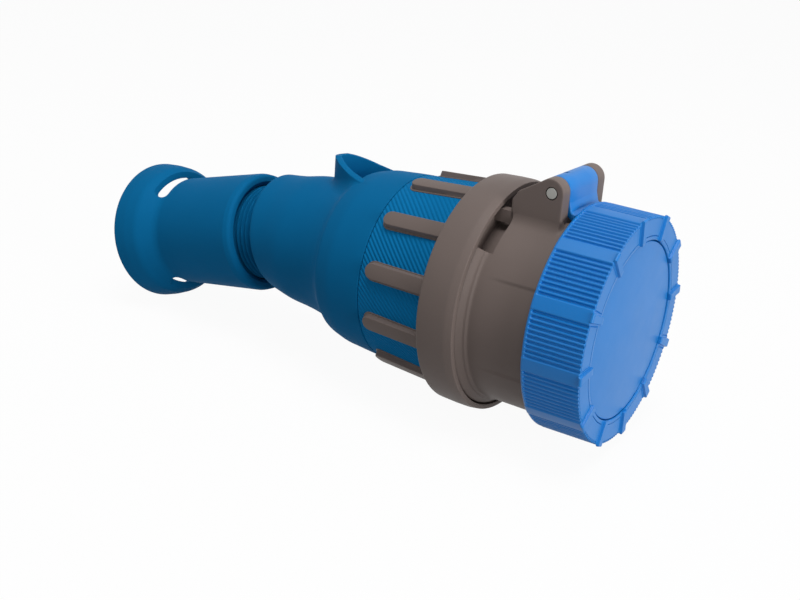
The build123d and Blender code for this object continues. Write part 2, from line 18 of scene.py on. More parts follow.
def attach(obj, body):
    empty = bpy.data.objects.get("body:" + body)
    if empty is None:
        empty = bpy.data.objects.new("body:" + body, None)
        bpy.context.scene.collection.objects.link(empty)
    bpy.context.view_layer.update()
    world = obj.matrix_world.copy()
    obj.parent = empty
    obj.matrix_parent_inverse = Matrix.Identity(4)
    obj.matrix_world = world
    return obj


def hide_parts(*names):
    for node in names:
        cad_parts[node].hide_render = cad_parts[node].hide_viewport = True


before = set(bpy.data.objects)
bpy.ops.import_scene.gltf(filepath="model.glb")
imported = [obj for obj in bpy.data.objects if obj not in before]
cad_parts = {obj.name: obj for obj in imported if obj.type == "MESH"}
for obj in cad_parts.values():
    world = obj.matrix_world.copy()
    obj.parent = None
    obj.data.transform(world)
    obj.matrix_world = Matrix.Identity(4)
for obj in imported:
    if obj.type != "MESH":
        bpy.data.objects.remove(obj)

log = logging.getLogger("connector")
MM = 0.001
WELD = 0.002 * MM
# The gland's axis leaves the front one this far behind the mouth, and droops by this angle.
BEND_BACK = 124.5
DROOP = math.radians(12.0)
# Inset and height of one level of a stacked skin. The height may differ from point to point.
Level = tuple[float, float | np.ndarray]


class Stock(Enum):
    """Kinds of stock a finish is made for."""

    PLASTIC = "plastic"
    RUBBER = "rubber"
    METAL = "metal"


class Line(Enum):
    """Axis that a turned piece is made about."""

    FRONT = "front"
    GLAND = "gland"


def linear(colour: tuple[float, float, float]) -> tuple[float, float, float, float]:
    """Turn a screen colour of 0 to 255 into a shader colour.

    Args:
        colour: red, green and blue as seen on screen.

    Returns:
        Linear red, green, blue and a full alpha.
    """
    unit = [c / 255.0 for c in colour]
    lin = [u / 12.92 if u <= 0.04045 else ((u + 0.055) / 1.055) ** 2.4 for u in unit]
    return lin[0], lin[1], lin[2], 1.0


@dataclass(frozen=True)
class Finish:
    """Moulded, rubber or metal finish with mottled colour, uneven gloss and a fine grain."""

    name: str
    colour: tuple[float, float, float]
    rough: float
    stock: Stock = Stock.PLASTIC
    grain_mm: float = 0.35
    grain_depth_mm: float = 0.012
    mottle: float = 0.05
    mottle_mm: float = 14.0
    gloss_mm: float = 5.0
    gloss_swing: float = 0.05
    shine: float = 0.3
    hatch_mm: float = 0.0
    hatch_depth_mm: float = 0.0
    hatch_angle: float = 45.0

    def material(self) -> bpy.types.Material:
        """Build the node material.

        Returns:
            The material, made once and found again by name.
        """
        found = bpy.data.materials.get(self.name)
        if found:
            return found
        mat = bpy.data.materials.new(self.name)
        mat.use_nodes = True
        nodes, links = mat.node_tree.nodes, mat.node_tree.links
        nodes.clear()
        out = nodes.new("ShaderNodeOutputMaterial")
        shader = nodes.new("ShaderNodeBsdfPrincipled")
        links.new(shader.outputs["BSDF"], out.inputs["Surface"])
        shader.inputs["Metallic"].default_value = 1.0 if self.stock is Stock.METAL else 0.0
        shader.inputs["IOR"].default_value = 1.46
        shader.inputs["Specular IOR Level"].default_value = self.shine
        where = nodes.new("ShaderNodeTexCoord")
        cloud = self.noise(nodes, links, where, self.mottle_mm, 3.0)
        tint = nodes.new("ShaderNodeMix")
        tint.data_type = "RGBA"
        base = linear(self.colour)
        tint.inputs["A"].default_value = tuple(c * (1.0 - self.mottle) for c in base[:3]) + (1.0,)
        tint.inputs["B"].default_value = tuple(min(1.0, c * (1.0 + self.mottle)) for c in base[:3]) + (1.0,)
        links.new(cloud, tint.inputs["Factor"])
        links.new(tint.outputs["Result"], shader.inputs["Base Color"])
        gloss = nodes.new("ShaderNodeMapRange")
        gloss.inputs["To Min"].default_value = self.rough - self.gloss_swing
        gloss.inputs["To Max"].default_value = self.rough + self.gloss_swing
        links.new(self.noise(nodes, links, where, self.gloss_mm, 4.0), gloss.inputs["Value"])
        links.new(gloss.outputs["Result"], shader.inputs["Roughness"])
        bump = nodes.new("ShaderNodeBump")
        bump.inputs["Distance"].default_value = self.grain_depth_mm * MM
        links.new(self.noise(nodes, links, where, self.grain_mm, 2.0), bump.inputs["Height"])
        if self.hatch_mm:
            links.new(self.hatch(nodes, links).outputs["Normal"], bump.inputs["Normal"])
        links.new(bump.outputs["Normal"], shader.inputs["Normal"])
        return mat

    def noise(self, nodes: bpy.types.Nodes, links: bpy.types.NodeLinks, where: bpy.types.Node,
              spot_mm: float, detail: float) -> bpy.types.NodeSocket:
        """Add a noise texture on object coordinates.

        Args:
            nodes: the material's nodes.
            links: the material's links.
            where: texture coordinate node.
            spot_mm: size of a spot, in millimetres.
            detail: octaves of finer noise.

        Returns:
            The noise's value socket.
        """
        tex = nodes.new("ShaderNodeTexNoise")
        tex.inputs["Scale"].default_value = 1.0 / (spot_mm * MM)
        tex.inputs["Detail"].default_value = detail
        links.new(where.outputs["Object"], tex.inputs["Vector"])
        return tex.outputs["Fac"]

    def hatch(self, nodes: bpy.types.Nodes, links: bpy.types.NodeLinks) -> bpy.types.Node:
        """Add fine slanting ridges that follow the piece's own unrolled map.

        The ridge height is a sine of the distance across the ridges, which is the map's two
        lengths turned by the hatch angle.

        Args:
            nodes: the material's nodes.
            links: the material's links.

        Returns:
            The bump node of the ridges.
        """
        uv = nodes.new("ShaderNodeUVMap")
        uv.uv_map = "unrolled"
        turn = nodes.new("ShaderNodeMapping")
        turn.inputs["Rotation"].default_value[2] = math.radians(self.hatch_angle)
        links.new(uv.outputs["UV"], turn.inputs["Vector"])
        wave = nodes.new("ShaderNodeTexWave")
        wave.wave_profile = "SIN"
        wave.inputs["Scale"].default_value = math.tau / (20.0 * self.hatch_mm)
        links.new(turn.outputs["Vector"], wave.inputs["Vector"])
        bump = nodes.new("ShaderNodeBump")
        bump.inputs["Distance"].default_value = self.hatch_depth_mm * MM
        links.new(wave.outputs["Fac"], bump.inputs["Height"])
        return bump


TAUPE = Finish("taupe_moulding", (112, 100, 95), 0.5, shine=0.16)
BODY_BLUE = Finish("body_blue_moulding", (10, 103, 154), 0.6, shine=0.03)
GRIP_BLUE = Finish("grip_blue_rubber", (10, 114, 171), 0.65, Stock.RUBBER, shine=0.03, hatch_mm=1.3,
                   hatch_depth_mm=0.2)
LID_BLUE = Finish("lid_blue_moulding", (10, 118, 196), 0.4, shine=0.42)
CARRIER_BLACK = Finish("carrier_black_moulding", (38, 38, 40), 0.5)
WASHER_GREY = Finish("washer_grey_moulding", (96, 96, 96), 0.5)
SEAL_BLACK = Finish("seal_black_rubber", (30, 30, 31), 0.7, Stock.RUBBER)
PIN_STEEL = Finish("pin_dull_steel", (150, 150, 146), 0.55, Stock.METAL, grain_mm=0.2, grain_depth_mm=0.006)
SCREW_STEEL = Finish("screw_zinc", (190, 190, 188), 0.38, Stock.METAL, grain_mm=0.2, grain_depth_mm=0.005)
CONTACT_BRASS = Finish("contact_brass", (201, 165, 96), 0.32, Stock.METAL, grain_mm=0.15,
                       grain_depth_mm=0.004)


def axis_frame(line: Line) -> np.ndarray:
    """Turn and shift that put a piece drawn along X onto one of the two axes.

    Args:
        line: the axis wanted.

    Returns:
        A 4 by 4 matrix in millimetres.
    """
    if line is Line.FRONT:
        return np.eye(4)
    turn = Matrix.Rotation(-DROOP, 4, "Y")
    turn.translation = (-BEND_BACK, 0.0, 0.0)
    return np.array(turn)


def rounded(corners: list[tuple[float, float, float]], closed: bool, steps: int = 5) -> np.ndarray:
    """Round the corners of an outline.

    Each corner of radius r is replaced by the arc that touches both of its sides, so it starts
    r / tan(half the corner's angle) before the corner and ends as far after it.

    Args:
        corners: two coordinates and a radius for each corner.
        closed: whether the last corner joins the first.
        steps: points on each arc.

    Returns:
        Points of the outline, one row each.
    """
    rows = []
    count = len(corners)
    for k, (a, b, radius) in enumerate(corners):
        here = np.array([a, b])
        inner = closed or 0 < k < count - 1
        if not inner or radius <= 0:
            rows.append(here[None, :])
            continue
        back = np.array(corners[k - 1][:2]) - here
        ahead = np.array(corners[(k + 1) % count][:2]) - here
        lb, la = np.linalg.norm(back), np.linalg.norm(ahead)
        back, ahead = back / lb, ahead / la
        half = math.acos(float(np.clip(back @ ahead, -1, 1))) / 2
        if half > math.radians(89.0):
            rows.append(here[None, :])
            continue
        reach = min(radius / math.tan(half), 0.49 * lb, 0.49 * la)
        r = reach * math.tan(half)
        mid = (back + ahead) / np.linalg.norm(back + ahead)
        centre = here + mid * r / math.sin(half)
        start, end = here + back * reach - centre, here + ahead * reach - centre
        t = np.linspace(0, 1, steps)[:, None]
        arc = start * (1 - t) + end * t
        rows.append(centre + arc * (r / np.linalg.norm(arc, axis=1, keepdims=True)))
    return np.vstack(rows)


def eased(points: list[tuple[float, float]], count: int) -> np.ndarray:
    """Smooth line through control points.

    Each span is the cubic that passes its two ends with the slope given there. That slope is
    twice the product of the slopes of the spans on either side over their sum, or level where
    the line turns back.

    Args:
        points: x and radius of each control point, with x rising.
        count: points wanted.

    Returns:
        Points of the line, one row each.
    """
    p = np.array(points, float)
    x, y = p[:, 0], p[:, 1]
    h, d = np.diff(x), np.diff(y) / np.diff(x)
    m = np.zeros_like(y)
    both, total = d[:-1] * d[1:], d[:-1] + d[1:]
    m[1:-1] = np.where(both > 0, 2 * both / np.where(total == 0, 1, total), 0)
    m[0], m[-1] = d[0], d[-1]
    at = np.linspace(x[0], x[-1], count)
    k = np.clip(np.searchsorted(x, at) - 1, 0, len(h) - 1)
    t = (at - x[k]) / h[k]
    out = ((1 + 2 * t) * (1 - t) ** 2 * y[k] + t * (1 - t) ** 2 * h[k] * m[k]
           + t ** 2 * (3 - 2 * t) * y[k + 1] + t ** 2 * (t - 1) * h[k] * m[k + 1])
    return np.column_stack([at, out])


def step(value: np.ndarray, low: float, high: float) -> np.ndarray:
    """Smooth rise from 0 at low to 1 at high, a cubic that is flat at both ends."""
    t = np.clip((value - low) / (high - low), 0.0, 1.0)
    return t * t * (3 - 2 * t)


def grid_faces(rows: int, cols: int, closed: bool) -> np.ndarray:
    """Quads between neighbours on a grid of points whose last column joins the first.

    Args:
        rows: points along the first way.
        cols: points along the second way.
        closed: whether the last row joins the first too.

    Returns:
        Four point numbers for each quad.
    """
    i = np.arange(rows if closed else rows - 1)[:, None]
    j = np.arange(cols)[None, :]
    i2, j2 = (i + 1) % rows, (j + 1) % cols
    quads = [i * cols + j, i * cols + j2, i2 * cols + j2, i2 * cols + j]
    return np.stack([np.broadcast_to(q, (i.size, j.size)) for q in quads], axis=-1).reshape(-1, 4)


@dataclass
class Shell:
    """Points and faces of one closed skin."""

    verts: np.ndarray
    faces: list[list[int]]

    @classmethod
    def from_grid(cls, points: np.ndarray, closed: bool) -> "Shell":
        """Make a skin from a grid of points, with a cap on each end row if they don't join.

        Args:
            points: rows by columns by 3, where each row is a loop.
            closed: whether the last row joins the first.

        Returns:
            The skin.
        """
        rows, cols = points.shape[:2]
        faces = grid_faces(rows, cols, closed).tolist()
        if not closed:
            faces += [list(range(cols)), list(range((rows - 1) * cols, rows * cols))]
        return cls(points.reshape(-1, 3), faces)

    def placed(self, matrix: np.ndarray) -> "Shell":
        """The same skin with its points moved by a matrix."""
        return Shell(self.verts @ matrix[:3, :3].T + matrix[:3, 3], self.faces)


def joined(name: str, shells: list[Shell]) -> bpy.types.Mesh:
    """Put several skins into one mesh, turned into metres.

    Args:
        name: the mesh's name.
        shells: closed skins in millimetres.

    Returns:
        The mesh.
    """
    verts, faces, start = [], [], 0
    for shell in shells:
        verts.append(shell.verts)
        faces += [[i + start for i in face] for face in shell.faces]
        start += len(shell.verts)
    mesh = bpy.data.meshes.new(name)
    mesh.from_pydata(np.vstack(verts) * MM, [], faces)
    return mesh


def outward(mesh: bpy.types.Mesh, weld: bool) -> None:
    """Turn a mesh's faces outward, after its doubled points are welded where that is asked."""
    work = bmesh.new()
    work.from_mesh(mesh)
    if weld:
        bmesh.ops.remove_doubles(work, verts=work.verts, dist=WELD)
    bmesh.ops.recalc_face_normals(work, faces=work.faces)
    work.to_mesh(mesh)
    work.free()


def smooth(mesh: bpy.types.Mesh, sharp: float) -> None:
    """Shade a mesh smooth, with edges bent by more than that many degrees left crisp."""
    mesh.polygons.foreach_set("use_smooth", np.ones(len(mesh.polygons), bool))
    mesh.set_sharp_from_angle(angle=math.radians(sharp))


def make_piece(name: str, shells: list[Shell], finish: Finish, body: str, nodes: tuple[str, ...],
               sharp: float = 35.0) -> bpy.types.Object:
    """Make one named piece of the object from closed shells, dress it and put it on its body.

    Args:
        name: the piece's name.
        shells: closed skins in millimetres.
        finish: what it is made of.
        body: CAD body it rides on.
        nodes: CAD nodes it stands for.
        sharp: edges bent by more than this many degrees stay crisp.

    Returns:
        The new object.
    """
    mesh = joined(name, shells)
    outward(mesh, True)
    smooth(mesh, sharp)
    obj = bpy.data.objects.new(name, mesh)
    bpy.context.scene.collection.objects.link(obj)
    obj.data.materials.append(finish.material())
    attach(obj, body)
    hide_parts(*nodes)
    log.info("%s: %d faces on %s", name, len(mesh.polygons), body)
    return obj


def around_axis(x: np.ndarray, radius: np.ndarray, angle: np.ndarray) -> np.ndarray:
    """Points at a station, radius and angle about X, the angle from +Z toward -Y."""
    return np.stack(np.broadcast_arrays(x, -radius * np.sin(angle), radius * np.cos(angle)), axis=-1)


def lathe(profile: np.ndarray, segments: int, line: Line = Line.FRONT) -> Shell:
    """Closed skin swept round an axis by a profile.

    Each profile point (x, r) becomes a circle of radius r at station x. A closed profile makes
    a ring; one that ends on the axis makes a solid.

    Args:
        profile: stations and radii, one row each, as a closed loop.
        segments: points on each circle.
        line: the axis.

    Returns:
        The skin.
    """
    angle = np.linspace(0, math.tau, segments, endpoint=False)[None, :]
    return Shell.from_grid(around_axis(profile[:, :1], profile[:, 1:], angle), True).placed(axis_frame(line))


def swung(x: np.ndarray, radius: np.ndarray, turn: np.ndarray) -> Shell:
    """Closed skin of a block that an outline sweeps part of the way round the front axis.

    Args:
        x: stations of the outline.
        radius: radii of the outline, the same all the way or a row for each angle.
        turn: angles from +Z toward -Y, in radians.

    Returns:
        The skin.
    """
    return Shell.from_grid(around_axis(x[None, :], np.atleast_2d(radius), turn[:, None]), False)


def stacked(outline: np.ndarray, levels: list[Level], axes: np.ndarray) -> Shell:
    """Closed skin of an outline drawn in and lifted level by level.

    At each level every outline point moves inward along its normal by the level's inset, and
    stands at the level's height above the outline's plane.

    Args:
        outline: points of the outline, one row each, running the positive way round.
        levels: inset and height, a number or one for each point, from bottom to top.
        axes: rows with the directions of the outline's two coordinates and of its height.

    Returns:
        The skin.
    """
    ahead = np.roll(outline, -1, axis=0) - np.roll(outline, 1, axis=0)
    ahead /= np.linalg.norm(ahead, axis=1, keepdims=True)
    inward = np.column_stack([-ahead[:, 1], ahead[:, 0]])
    rows = []
    for inset, height in levels:
        flat = outline + inward * inset
        rows.append(np.column_stack([flat, np.broadcast_to(height, len(flat))]) @ axes)
    return Shell.from_grid(np.array(rows), False)


def bevel_levels(low: float, high: float, radius: float, steps: int = 4) -> list[Level]:
    """Levels of a plate whose two edges are rounded with quarter circles.

    Args:
        low: height of the bottom face.
        high: height of the top face.
        radius: radius of the edges.
        steps: points on each quarter circle.

    Returns:
        Inset and height of each level.
    """
    a = np.linspace(0, math.pi / 2, steps)
    bottom = [(radius * (1 - math.sin(k)), low + radius * (1 - math.cos(k))) for k in a]
    top = [(radius * (1 - math.cos(k)), high - radius * (1 - math.sin(k))) for k in a]
    return bottom + top


@dataclass
class LockingRing:
    """Ring that is turned to lock the lid, with knurled sectors between smooth bands."""

    rear: float = -11.5
    front: float = 7.4
    band_r: float = 36.0
    taper: float = 0.3
    knurl_drop: float = 0.6
    band_rise: float = 0.14
    groove: float = 0.62
    skirt_bore: float = 34.3
    web_bore: float = 27.75
    web_x: float = 4.6
    sectors: int = 12
    first: float = 6.5
    band_half: float = 3.2
    bar_half: float = 2.1
    bar_len: float = 1.3
    grooves: int = 10
    panel: tuple[float, float] = (28.9, 34.5)
    rim_sink: float = 0.75
    panel_sink: float = 0.35
    rim_w: float = 0.8
    # Blocks in the skirt: inner radius, rear and front stations and half angle, then where they stand.
    lug: tuple[float, float, float, float] = (30.0, -9.0, -6.0, 9.0)
    lug_at: tuple[float, ...] = (-90.0, 90.0)
    ledge: tuple[float, float, float, float] = (33.2, -0.2, 0.9, 8.0)
    ledge_at: tuple[float, ...] = (60.0, 120.0, 240.0, 300.0)
    segments: int = 1440

    def knurl(self, angle: np.ndarray) -> tuple[np.ndarray, np.ndarray, np.ndarray, np.ndarray]:
        """Depth of the knurl's grooves, and where the bands, the front bars and the panels stand.

        Inside a sector the groove's depth rises and falls smoothly once a pitch; on a band it
        is nothing.

        Args:
            angle: degrees about the axis.

        Returns:
            Groove depth in millimetres, then 0 on a band and 1 off it, then the same for a bar,
            and last 1 inside a front panel and 0 outside.
        """
        pitch = 360.0 / self.sectors
        local = np.mod(angle - self.first + pitch / 2, pitch) - pitch / 2
        away = np.abs(local)
        off_band = step(away, self.band_half, self.band_half + 0.4)
        off_bar = step(away, self.bar_half, self.bar_half + 0.35)
        span = pitch - 2 * self.band_half
        phase = np.mod((np.mod(local, pitch) - self.band_half) / span * self.grooves, 1.0)
        valley = step(phase, 0.1, 0.42) - step(phase, 0.58, 0.9)
        inside = step(away, self.band_half, self.band_half + 0.9)
        return off_band * self.groove * valley, off_band, off_bar, inside

    def skin(self) -> Shell:
        """Closed skin of the ring: its cross-section carried round, with the knurl cut in.

        Along the side a band stands a little over the knurl's crests. Just behind the front edge
        its middle rises to the full band radius as a smooth step and turns into a bar. A fine
        groove outlines each panel: it is deepest where the panel's smooth mask is at a half.
        """
        angle = np.linspace(0, 360.0, self.segments, endpoint=False)
        groove, off_band, off_bar, inside = self.knurl(angle)
        turn = np.radians(angle)
        rows = []
        outer = [(self.rear, 0.5, 0.0), (self.rear + 0.15, 0.15, 0.0), (self.rear + 0.5, 0.0, 0.0),
                 (self.rear + self.rim_w, 0.0, 0.0), (self.rear + self.rim_w + 0.2, 0.0, 1.0)]
        outer += [(x, 0.0, 1.0) for x in np.linspace(self.rear + 1.5, self.front - self.bar_len - 0.4, 7)]
        outer += [(x, 0.0, 1.0) for x in np.linspace(self.front - self.bar_len, self.front - 0.7, 4)]
        outer += [(self.front - 0.4, 0.0, 1.0), (self.front - 0.12, 0.1, 1.0), (self.front, 0.36, 1.0)]
        for x, inset, share in outer:
            crest = self.band_r - self.knurl_drop - self.taper * (x - self.rear) / (self.front - self.rear)
            near = step(np.array(x), self.front - self.bar_len, self.front - 0.7)
            rise = np.maximum((1 - off_band) * self.band_rise, (1 - off_bar) * self.knurl_drop * near)
            station = x - off_bar * self.rim_sink * step(np.array(x), self.front - 1.1, self.front)
            rows.append(around_axis(station, crest + rise - share * groove - inset, turn))
        edge = self.band_r - self.taper - self.knurl_drop - 0.5
        low, high = self.panel
        levels = (high, high - 0.12, high - 0.3, 33.0, 31.5, 30.0, low + 0.3, low + 0.12, low)
        for r in levels + (self.web_bore + 0.3,):
            mask = inside * step(np.array(r), low, low + 0.25) * (1 - step(np.array(r), high - 0.25, high))
            rr = np.minimum(np.full_like(turn, r), edge + (1 - off_bar) * self.knurl_drop - groove)
            line = 4 * mask * (1 - mask)
            rows.append(around_axis(self.front - off_bar * self.rim_sink - self.panel_sink * line, rr, turn))
        for sink, r in ((0.12, self.web_bore + 0.06), (0.35, self.web_bore)):
            rows.append(around_axis(self.front - off_bar * self.rim_sink - sink, np.full_like(turn, r), turn))
        for x, r in ((self.web_x, self.web_bore), (self.web_x, self.skirt_bore),
                     (self.rear + 0.3, self.skirt_bore), (self.rear, self.skirt_bore + 0.3)):
            rows.append(around_axis(np.full_like(turn, x), np.full_like(turn, r), turn))
        return Shell.from_grid(np.array(rows), True)

    def blocks(self) -> list[Shell]:
        """Two bayonet lugs and four snap ledges inside the skirt."""
        root = self.skirt_bore + 0.3
        shells = []
        for (r, x0, x1, half), mids in ((self.lug, self.lug_at), (self.ledge, self.ledge_at)):
            outline = rounded([(x0, r, 0.25), (x1, r, 0.25), (x1, root, 0), (x0, root, 0)], True)
            for mid in mids:
                turn = np.radians(np.linspace(mid - half, mid + half, 12))
                shells.append(swung(outline[:, 0], outline[:, 1], turn))
        return shells

    def build(self) -> None:
        """Make the ring."""
        shells = [self.skin()] + self.blocks()
        make_piece("locking_ring_skin", shells, LID_BLUE, "ring", ("locking_ring",), 50.0)


@dataclass
class Hinge:
    """Hinge line shared by the housing's ears and the lid's barrel."""

    pin_back: float = 18.1
    pin_z: float = 39.7
    pin_r: float = 1.65
    face: float = 14.0
    ear_t: float = 4.6
    nose_r: float = 4.2
    side_gap: float = 0.2

    def nose(self) -> list[tuple[float, float, float]]:
        """Top of the side outline, from the front edge over the nose and down the rear slope."""
        cx, cz, r = -self.pin_back - 0.4, self.pin_z, self.nose_r
        arc = [(cx + r * math.cos(a), cz + r * math.sin(a), 0.0) for a in np.radians(np.linspace(0, 118, 24))]
        return arc + [(-22.6, 42.0, 2.0), (-28.5, 38.5, 3.0), (-30.4, 35.6, 1.2)]

    def pin(self) -> Shell:
        """Pin with rounded ends, turned along X and then laid along Y on the hinge line."""
        half = self.face + 0.02
        end = rounded([(half, 0.0, 0), (half, self.pin_r, 0.18), (0.0, self.pin_r, 0)], False)
        profile = np.vstack([end, end[-2::-1] * (-1, 1)])
        move = np.array([[0, 1, 0, -self.pin_back], [1, 0, 0, 0], [0, 0, 1, self.pin_z], [0, 0, 0, 1]], float)
        return lathe(profile, 48).placed(move)

    def build(self) -> None:
        """Make the pin."""
        make_piece("hinge_pin_ends", [self.pin()], PIN_STEEL, "front", ("hinge_pin",))


@dataclass
class Lid:
    """Lid plate with its raised face, the arm under the ring and the hinge barrel."""

    hinge: Hinge
    plate_r: float = 33.9
    plate_x: tuple[float, float] = (1.3, 4.3)
    face_r: float = 27.45
    face_x: float = 6.3
    arm_r: tuple[float, float] = (30.3, 33.6)
    arm_half: float = 9.2
    arm_x: tuple[float, float] = (-13.0, 2.3)
    room_r: float = 3.15
    room_half: float = 3.7
    slot_from: float = 2.2

    def plate(self) -> Shell:
        """Plate with the gasket's groove behind and the face in front."""
        x0, x1 = self.plate_x
        loop = rounded([(x0, 0, 0), (x0, 26.4, 0.1), (x0 + 1, 26.4, 0), (x0 + 1, 29.9, 0), (x0, 29.9, 0.1),
                        (x0, self.plate_r, 0.3), (x1, self.plate_r, 0.3), (x1, self.face_r, 0),
                        (self.face_x, self.face_r, 0.35), (self.face_x, 0, 0)], True)
        return lathe(loop, 240)

    def arm(self) -> Shell:
        """Curved arm from the plate back under the ring."""
        (r0, r1), (x0, x1) = self.arm_r, self.arm_x
        half = math.asin(self.arm_half / r1)
        loop = rounded([(x0, r0, 0.5), (x1, r0, 0), (x1, r1, 0), (x0, r1, 0.5)], True)
        return swung(loop[:, 0], loop[:, 1], np.linspace(-half, half, 25))

    def barrel(self) -> list[Shell]:
        """Barrel that fills the gap between the ears and flows forward into the arm.

        Two cheeks have the full side outline. Between them the spring's room is left free: the
        middle is the outline less a circle about the pin and all that lies under it. A slot in
        its rear half, toward -Y, lets the spring's long leg pass when the lid swings open.
        """
        nose = self.hinge.nose()[:-2]
        front = [(-13.0, 31.4, 0.5), (-12.0, 31.2, 0.2), (-12.0, 33.5, 0.3), (-13.4, 34.0, 0.8),
                 (-14.2, 36.8, 3.0)]
        cheek = rounded(nose + [(-22.9, 38.2, 0.8), (-21.0, 36.4, 1.0), (-17.0, 34.4, 1.0)] + front, True)
        px, pz, r = -self.hinge.pin_back, self.hinge.pin_z, self.room_r
        roof = [(px + r * math.cos(a), pz + r * math.sin(a), 0.0)
                for a in np.radians(np.linspace(180, 0, 19))]
        strap = [(px + r, 32.9, 0.0)] + front
        middle = rounded(nose + [(-22.8, 40.5, 0.2), (px - r, 40.5, 0.0)] + roof[2:] + strap, True)
        slotted = rounded(nose[:19] + roof[9:] + strap, True)
        half = self.hinge.face - self.hinge.ear_t - self.hinge.side_gap
        axes = np.array([[1, 0, 0], [0, 0, 1], [0, -1, 0]], float)
        levels = bevel_levels(-half, half, 0.35)
        cut = len(levels) // 2
        room, slot = self.room_half, self.slot_from
        return [stacked(cheek, levels[:cut] + [(0.0, -room)], axes),
                stacked(cheek, [(0.0, room)] + levels[cut:], axes),
                stacked(middle, [(0.0, -room - 0.02), (0.0, slot)], axes),
                stacked(slotted, [(0.0, slot - 0.02), (0.0, room + 0.02)], axes)]

    def build(self) -> None:
        """Make the lid."""
        shells = [self.plate(), self.arm()] + self.barrel()
        make_piece("lid_skin", shells, LID_BLUE, "lid", ("lid",), 40.0)


@dataclass
class UnionNut:
    """Taupe collar with its ribs and the soft sleeve between them."""

    tail: float = -71.7
    grip_front: float = -46.0
    grip_r: tuple[float, float] = (31.4, 33.3)
    grip_bore: tuple[float, float] = (30.1, 31.7)
    rib_root: float = 29.6
    ribs: int = 12
    rib_w: float = 5.4
    rib_top: tuple[float, float] = (33.6, 34.9)
    rib_tip: float = -69.0
    draft: float = 0.14
    ledge: float = 0.45
    edge: float = 0.28

    def collar(self) -> Shell:
        """Collar, inner ridge and threaded tail, swept from one closed profile."""
        loop = rounded([(-36.1, 35.3, 0.1), (-38.4, 35.3, 0), (-38.4, 31.5, 0.3), (-41.0, 31.5, 0.3),
                        (-41.0, 33.3, 0), (-43.6, 33.3, 0), (-43.6, 28.9, 0.3), (self.tail, 28.9, 0.3),
                        (self.tail, self.grip_bore[0], 0), (self.grip_front, self.grip_bore[1], 0),
                        (self.grip_front, 37.15, 0.7), (-40.0, 37.4, 0), (-36.1, 37.4, 8.0),
                        (-33.45, 37.0, 0.25), (-33.35, 35.5, 0.15)], True, 7)
        return lathe(loop, 288)

    def rib(self, angle: float) -> Shell:
        """One rib: a bar with a round tip, drafted sides and a flat sloping top.

        Args:
            angle: degrees from +Z toward -Y.

        Returns:
            The rib's skin.
        """
        half = self.rib_w / 2
        tip = np.radians(np.linspace(90, 270, 19))
        arc = np.column_stack([self.rib_tip + half + half * np.cos(tip), half * np.sin(tip)])
        bar = np.linspace(self.rib_tip + half + 0.4, -44.6, 12)
        outline = np.vstack([arc, np.column_stack([bar, np.full_like(bar, -half)]),
                             np.column_stack([bar[::-1], np.full_like(bar, half)])])
        share = (outline[:, 0] - self.rib_tip) / (self.grip_front - self.rib_tip)
        top = self.rib_top[0] + (self.rib_top[1] - self.rib_top[0]) * share
        r0, r1 = self.grip_r
        skin = r0 + (r1 - r0) * (outline[:, 0] - self.tail) / (self.grip_front - self.tail)
        out = self.ledge
        levels = [(-out, self.rib_root), (-out, skin + 0.05), (-out + 0.08, skin + 0.14),
                  (-0.03, skin + 0.16), (0.03, skin + 0.22)]
        lean = 0.03 + self.draft * (top - skin - self.edge).mean()
        for a in np.radians((0, 30, 60, 90)):
            levels.append((lean + self.edge * (1 - math.cos(a)), top - self.edge * (1 - math.sin(a))))
        c, s = math.cos(math.radians(angle)), math.sin(math.radians(angle))
        move = np.array([[1, 0, 0, 0], [0, c, -s, 0], [0, s, c, 0], [0, 0, 0, 1]], float)
        return stacked(outline, levels, np.eye(3)).placed(move)

    def grip(self) -> bpy.types.Object:
        """Soft sleeve with an unrolled map for its fine slanting ridges.

        Returns:
            The sleeve's object.
        """
        (r0, r1), (bore0, bore1) = self.grip_r, self.grip_bore
        loop = rounded([(self.grip_front, bore1, 0), (self.grip_front, r1, 0.0), (self.tail, r0, 0.25),
                        (self.tail, bore0, 0)], True)
        sleeve = [lathe(loop, 288)]
        grip = make_piece("union_grip_skin", sleeve, GRIP_BLUE, "union", ("union_grip",))
        mesh = grip.data
        spots = np.empty(len(mesh.vertices) * 3)
        mesh.vertices.foreach_get("co", spots)
        spots = spots.reshape(-1, 3)
        corner = np.empty(len(mesh.loops), int)
        mesh.loops.foreach_get("vertex_index", corner)
        turn = np.arctan2(-spots[corner, 1], spots[corner, 2])
        first = np.repeat([p.loop_start for p in mesh.polygons], [p.loop_total for p in mesh.polygons])
        turn = turn[first] + np.mod(turn - turn[first] + math.pi, math.tau) - math.pi
        layer = mesh.uv_layers.new(name="unrolled")
        layer.data.foreach_set("uv", np.column_stack([turn * r1, spots[corner, 0] / MM]).ravel())
        return grip

    def build(self) -> None:
        """Make collar, ribs and sleeve."""
        pitch = 360.0 / self.ribs
        shells = [self.collar()] + [self.rib(pitch / 2 + pitch * k) for k in range(self.ribs)]
        make_piece("union_nut_skin", shells, TAUPE, "union", ("union_nut",))
        self.grip()


